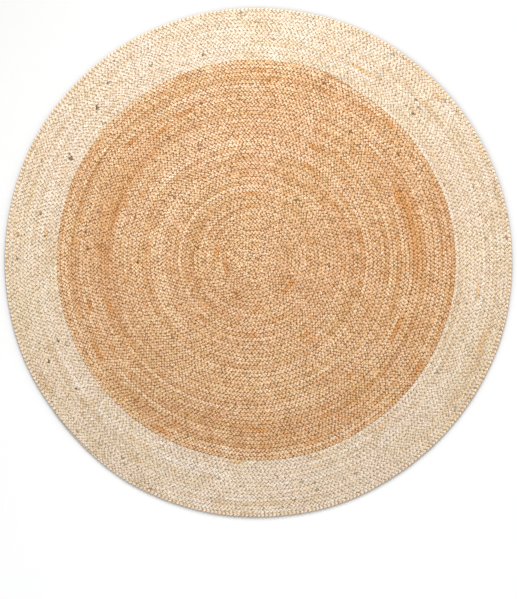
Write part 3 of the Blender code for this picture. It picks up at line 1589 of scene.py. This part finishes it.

# The grooves' jute is painted shade, darker than the yarn over it.
TAN_GROOVE = GrooveFinish(
    "tan_jute_groove", srgb(122, 70, 24), srgb(162, 108, 52), srgb(214, 178, 134)
)
CREAM_GROOVE = GrooveFinish(
    "cream_jute_groove", srgb(176, 140, 80), srgb(200, 166, 108), srgb(228, 212, 180)
)

# Where whole stretches of the yarn were dyed or dried unevenly. The first three, wide streaks are
# painted light and shade: paler towards the light, darker to the right and to the lower left.
# Radius, half width across the rows, azimuth, half angle, then how much paler and how much more
# stained.
TAN_STREAKS = (
    Streak(0.30, 0.25, -5, 28, tone=-0.06),
    Streak(0.30, 0.25, 210, 60, tone=-0.05),
    Streak(0.30, 0.25, 88, 55, tone=0.04),
    Streak(0.373, 0.026, 152, 28, tone=-0.04, stain=0.34),
    Streak(0.009, 0.005, 127, 40, tone=-0.12, stain=0.4),
    Streak(0.375, 0.020, 14, 20, tone=-0.12, stain=0.62),
    Streak(0.222, 0.009, 35, 24, tone=-0.12, stain=0.34),
    Streak(0.222, 0.006, 90, 30, stain=0.28),
    Streak(0.132, 0.004, 117, 32, tone=-0.20, stain=0.20),
    Streak(0.443, 0.004, 160, 34, tone=-0.34),
    Streak(0.078, 0.006, 186, 10, tone=-0.25),
    Streak(0.340, 0.005, 190, 9, tone=-0.22),
    Streak(0.356, 0.004, 161, 7, tone=-0.20),
    Streak(0.435, 0.004, 8, 10, tone=-0.28),
    Streak(0.264, 0.010, 110, 9, tone=0.14),
    Streak(0.424, 0.007, 114, 12, tone=0.12),
    Streak(0.347, 0.005, 20, 18, tone=0.12),
    Streak(0.252, 0.008, 83, 14, tone=0.10),
)
# Dark knots that stand out: radius and azimuth of each.
TAN_KNOTS = (
    (0.441, 145), (0.444, 138), (0.448, 70), (0.378, 55), (0.420, 92), (0.308, 232), (0.361, 126),
    (0.398, 110), (0.417, 38), (0.415, 170), (0.148, 166), (0.269, 220), (0.403, 175), (0.283, 180),
    (0.172, 58), (0.125, 28),
)
# The first two, wide streaks are painted shade, darker to the border's left and right.
CREAM_STREAKS = (
    Streak(0.54, 0.10, 0, 50, tone=-0.05),
    Streak(0.54, 0.10, 180, 50, tone=-0.05),
    Streak(0.566, 0.022, 212, 42, tone=-0.05),
    Streak(0.585, 0.006, 14, 11, tone=-0.09),
)
CREAM_KNOTS = (
    (0.547, 205), (0.507, 44), (0.530, 43), (0.507, 201), (0.552, 130), (0.533, 46), (0.528, 167),
    (0.490, 11), (0.533, 79), (0.528, 136), (0.570, 179), (0.507, 105), (0.495, 0), (0.507, 151),
)


# ------------------------------------------------------------
# The rug's two plaits
# ------------------------------------------------------------


@dataclass
class CoiledPlait:
    """One plait of the rug with all its pieces."""

    node: str
    slot: str
    plait: Plaited
    yarn: YarnColour
    finish: JuteFinish
    groove: GrooveFinish
    lobes: Lobes
    body: PlaitBody
    turns_end: Tuple[float, ...]  # steps at which one piece of lobes ends and the next starts
    flat_size: Tuple[float, float]
    flat_area: float
    fibres: LooseFibres
    sewn: Tuple[Tuple[float, float], ...]  # stretches of turns where the thread shows
    rim: bool = False
    first_lobe: float = 1.5  # how many pitches the first lobe lies from the plait's start
    spacing_drift: float = 0.0009  # how far lobes run ahead of even spacing, or behind it
    spacing_reach: float = 9.0  # over how many lobes that changes
    sharp_edge: float = math.radians(50)

    def runs(self, column: Column) -> Tuple[np.ndarray, np.ndarray]:
        """Where the lobes of a column lie along the plait.

        Args:
            column: the inner or the outer column.

        Returns:
            Their distances along the plait, and their places in the order of plaiting.
        """
        count = int(self.plait.length() / self.lobes.pitch)
        index = np.arange(count)
        lead = self.lobes.outer_lead if column is Column.OUTER else 0.0
        runs = (index + self.first_lobe) * self.lobes.pitch - lead
        slow = drift(self.yarn.seed + Draw.SPACING, count, self.spacing_reach)
        order = STRANDS_SHOWN * index + (column is Column.INNER)
        return runs + self.spacing_drift * slow, order

    def carrier(self, jute: bpy.types.Material) -> bpy.types.Object:
        """Make the body under the lobes.

        Args:
            jute: material of its sides and its underside.

        Returns:
            The piece.
        """
        parcel, tops = self.body.parcel(self.plait, self.lobes.pitch, self.yarn, self.rim)
        body = make_piece(self.node + "_body", parcel, (jute, self.groove.material()))
        over = np.zeros(len(parcel.sizes), np.int32)
        over[:tops] = 1
        body.data.polygons.foreach_set("material_index", over)
        body.data.set_sharp_from_angle(angle=self.sharp_edge)
        return body

    def turns(self, low: float, high: float) -> Parcel:
        """Lay the lobes of both columns from one step up to another.

        Args:
            low: the first step.
            high: the step where they end.

        Returns:
            The arrays of all the lobes.
        """
        parts = []
        for column in Column:
            runs, order = self.runs(column)
            step = self.plait.step_at(runs)
            wanted = (step >= low) & (step < high)
            if self.rim and column is Column.OUTER:
                wanted &= step < RIM_START
            parts.append(self.lobes.lay(self.plait, column, runs[wanted], order[wanted], self.yarn))
        return parts[0].joined(parts[1])

    def rim_strands(self) -> Parcel:
        """Lay the strands that turn over the rug's edge, in place of the last outer lobes.

        Returns:
            The arrays of all the strands.
        """
        runs, order = self.runs(Column.OUTER)
        wanted = self.plait.step_at(runs) >= RIM_START
        return RimStrands().lay(self.plait, runs[wanted], order[wanted], self.yarn)

    def build(self) -> List[bpy.types.Object]:
        """Returns:
            The pieces, with the body first.
        """
        jute = self.finish.material()
        body = self.carrier(jute)
        plaits = []
        bounds = (self.plait.first - 1,) + self.turns_end + (self.plait.end + 1,)
        for number, (low, high) in enumerate(zip(bounds, bounds[1:]), start=1):
            name = f"{self.node}_turns_{number}"
            plaits.append(make_piece(name, self.turns(low, high), (jute,)))
        if self.rim:
            plaits.append(make_piece(self.node + "_rim", self.rim_strands(), (jute,)))
        plaits.append(make_piece(self.node + "_loose_fibres", self.fibres.lay(self.plait), (jute,)))
        if self.sewn:
            thread = SewingThread().lay(self.plait, self.sewn)
            plaits.append(make_piece(self.node + "_thread", thread, (THREAD.material(),)))
        for piece in [body] + plaits:
            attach(piece, "root")
        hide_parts(self.node)
        return [body] + plaits


# ------------------------------------------------------------
# Floor, light and camera
# ------------------------------------------------------------


@dataclass(frozen=True)
class Studio:
    """A pale floor under soft light, with the camera straight above."""

    view_height: float = 1.4122  # what the picture shows from top to bottom, at the rug
    rug_below_top: float = 262.5 / 599  # how far down the picture the rug's middle lies
    rug_from_left: float = 258.45 / 517
    picture_aspect: float = 517 / 599
    lens: float = 85.0
    sensor: float = 36.0
    floor_side: float = 14.0
    floor_drop: float = 0.0001  # how far the floor lies under the rug
    floor_grey: float = 0.571  # at the rug's middle
    # The floor is painted darker towards the light, so that it shows evenly lit.
    floor_paler: float = -0.161  # grey gained for each metre towards the light
    floor_even: float = 0.9  # how far from the middle the grey stops changing
    floor_roughness: float = 0.9
    floor_specular: float = 0.1
    grain: float = 0.02  # how much the grey varies from place to place
    grain_fineness: float = 40.0
    # A shadow is painted on the floor round the rug, strongest towards the light.
    shade_most: float = 0.30  # how much darker the floor is at the rug's edge towards the light
    shade_turned: float = 0.3  # share of the shade missing to the rug's left and right
    shade_reach: float = 0.005  # over which distance the shade fades to a third
    sky: float = 0.88
    sky_colour: Colour = (0.98, 0.99, 1.0, 1.0)
    key_place: Tuple[float, float, float] = (0.1, 1.5, 2.1)
    key_side: float = 1.8
    key_power: float = 92.5
    key_colour: Tuple[float, float, float] = (1.0, 0.988, 0.975)

    def build(self) -> None:
        """Make the floor, the light and the camera."""
        self.lay_floor()
        self.light()
        self.set_camera()
        bpy.context.scene.view_settings.view_transform = "Standard"

    def lay_floor(self) -> None:
        """Lay the floor just under the rug."""
        place = (0.0, 0.0, -self.floor_drop)
        bpy.ops.mesh.primitive_plane_add(size=self.floor_side, location=place)
        floor = bpy.context.object
        floor.name = "studio_floor"
        floor.data.materials.append(self.floor_paint())

    def floor_paint(self) -> bpy.types.Material:
        """Make the floor's material, painted darker towards the light, with a painted rug shadow.

        Returns:
            The material.
        """
        board = Board("studio_floor_paint")
        place = board.add("TexCoord", {}).outputs["Object"]
        towards_light = board.add("SeparateXYZ", {"Vector": place}).outputs["Y"]
        # Painted light: darker towards the lamp, so that the floor shows evenly lit.
        near = board.math("MINIMUM", towards_light, self.floor_even)
        near = board.math("MAXIMUM", near, -self.floor_even)
        grey = board.plus(board.times(near, self.floor_paler), self.floor_grey)
        grey = board.times(grey, self.painted_rug_shadow(board, place, towards_light))
        noise = board.noise(place, Scale=self.grain_fineness, Detail=3.0)
        grey = board.times(grey, board.plus(board.times(noise, self.grain), 1 - self.grain / 2))
        colour = board.add("CombineColor", {"Red": grey, "Green": grey, "Blue": grey})
        return board.finished({
            "Base Color": colour.outputs["Color"],
            "Roughness": self.floor_roughness,
            "Specular IOR Level": self.floor_specular,
        })

    def painted_rug_shadow(self, board: Board, place: Socket, towards_light: Socket) -> Socket:
        """How pale the floor stays under the shadow painted beside the rug.

        Args:
            board: the floor's nodes.
            place: the place on the floor.
            towards_light: how far towards the light that is.

        Returns:
            The share of its grey that the floor keeps.
        """
        distance = board.add("VectorMath", {0: place}, operation="LENGTH").outputs["Value"]
        off_rug = board.math("MAXIMUM", board.off(distance, COIL.rug_radius), 0.0)
        faded = board.math("EXPONENT", board.times(off_rug, -1.0 / self.shade_reach))
        facing = board.math("DIVIDE", towards_light, board.math("MAXIMUM", distance, 0.1))
        turned = board.plus(board.times(facing, self.shade_turned), 1 - self.shade_turned)
        painted = board.times(board.times(faded, self.shade_most), turned)
        return board.math("SUBTRACT", 1.0, painted, clamp=True)

    def light(self) -> None:
        """Hang one large soft light beyond the rug, and light the rest evenly."""
        world = bpy.data.worlds.new("studio_sky")
        world.use_nodes = True
        sky = world.node_tree.nodes["Background"]
        sky.inputs["Color"].default_value = self.sky_colour
        sky.inputs["Strength"].default_value = self.sky
        bpy.context.scene.world = world
        lamp = bpy.data.lights.new("studio_softbox", "AREA")
        lamp.energy = self.key_power
        lamp.size = self.key_side
        lamp.color = self.key_colour
        softbox = bpy.data.objects.new("studio_softbox", lamp)
        bpy.context.collection.objects.link(softbox)
        softbox.location = self.key_place
        away = -softbox.location
        softbox.rotation_euler = away.to_track_quat("-Z", "Y").to_euler()

    def set_camera(self) -> None:
        """Set the camera straight above, where the picture frames the rug."""
        view_width = self.view_height * self.picture_aspect
        data = bpy.data.cameras.new("camera")
        data.lens = self.lens
        data.sensor_width = self.sensor
        camera = bpy.data.objects.new("camera", data)
        bpy.context.collection.objects.link(camera)
        camera.location = (
            (0.5 - self.rug_from_left) * view_width,
            (self.rug_below_top - 0.5) * self.view_height,
            COIL.thickness + self.view_height * self.lens / self.sensor,
        )
        bpy.context.scene.camera = camera


def mean_field_radius() -> float:
    """Mean radius of the tan field."""
    mean_groove = float(COIL.groove_radius(np.array(COIL.field_end - COIL.steps / 2)))
    return mean_groove + COIL.row + COIL.field_gain


def tan_field() -> CoiledPlait:
    """The plait that is coiled from the rug's middle outwards.

    Returns:
        The plait, whose flat size is that of a disc.
    """
    radius = mean_field_radius()
    return CoiledPlait(
        node="centre_field",
        slot="tan_jute",
        plait=FIELD_PLAIT,
        yarn=YarnColour(
            seed=100, each_lobe=0.065, row=0.065, stretch=0.035,
            streaks=TAN_STREAKS, knots=TAN_KNOTS,
        ),
        finish=TAN_JUTE,
        groove=TAN_GROOVE,
        lobes=Lobes(
            pitch=0.00855,
            unevenness_along=0.00055,
            unevenness_aside=0.00022,
            unevenness_width=0.08,
            unevenness_turn=math.radians(4.5),
            roughness=0.00020,
            seam_shade=0.40,
            groove_shade=2.1,
        ),
        body=PlaitBody(top=0.0065),
        turns_end=(29.0 * COIL.steps, 41.0 * COIL.steps),
        flat_size=(2 * radius, 2 * radius),
        flat_area=math.pi * radius**2,
        fibres=LooseFibres(count=900, seed=31),
        sewn=((9.2, 9.6), (16.1, 16.4), (24.0, 24.2), (40.1, 40.3), (48.0, 48.1)),
    )


def cream_border() -> CoiledPlait:
    """The plait that is coiled on around the tan field.

    Returns:
        The plait, whose flat size is that of a ring, measured across and along its middle line.
    """
    inside = mean_field_radius()
    return CoiledPlait(
        node="border_band",
        slot="cream_jute",
        plait=BAND_PLAIT,
        yarn=YarnColour(
            seed=500, each_lobe=0.035, row=0.042, fleck_above=2.7, stain_above=1.8,
            streaks=CREAM_STREAKS, knots=CREAM_KNOTS,
        ),
        finish=CREAM_JUTE,
        groove=CREAM_GROOVE,
        lobes=Lobes(
            pitch=0.0093,
            shoulder=0.16,
            relief=0.48,
            spread=1.10,
            unevenness_along=0.00045,
            unevenness_aside=0.00025,
            unevenness_width=0.06,
            unevenness_turn=math.radians(4.0),
            roughness=0.00022,
            seam_shade=0.12,
            groove_shade=1.5,
            unevenness_height=0.00015,
            unevenness_tilt=0.00012,
        ),
        body=PlaitBody(top=0.0063),
        turns_end=(COIL.field_end + 7.6 * COIL.steps,),
        flat_size=(COIL.rug_radius - inside, math.pi * (COIL.rug_radius + inside)),
        flat_area=math.pi * COIL.rug_radius**2 - math.pi * inside**2,
        fibres=LooseFibres(count=4400, seed=32),
        sewn=(),
        rim=True,
    )


def main() -> None:
    """Build the rug and its studio, and report each piece."""
    logging.basicConfig(level=logging.INFO, format="%(name)s: %(message)s")
    for plait in (tan_field(), cream_border()):
        for piece in plait.build():
            LOG.info("%s: %d faces", piece.name, len(piece.data.polygons))
    Studio().build()


if __name__ == "__main__":
    main()
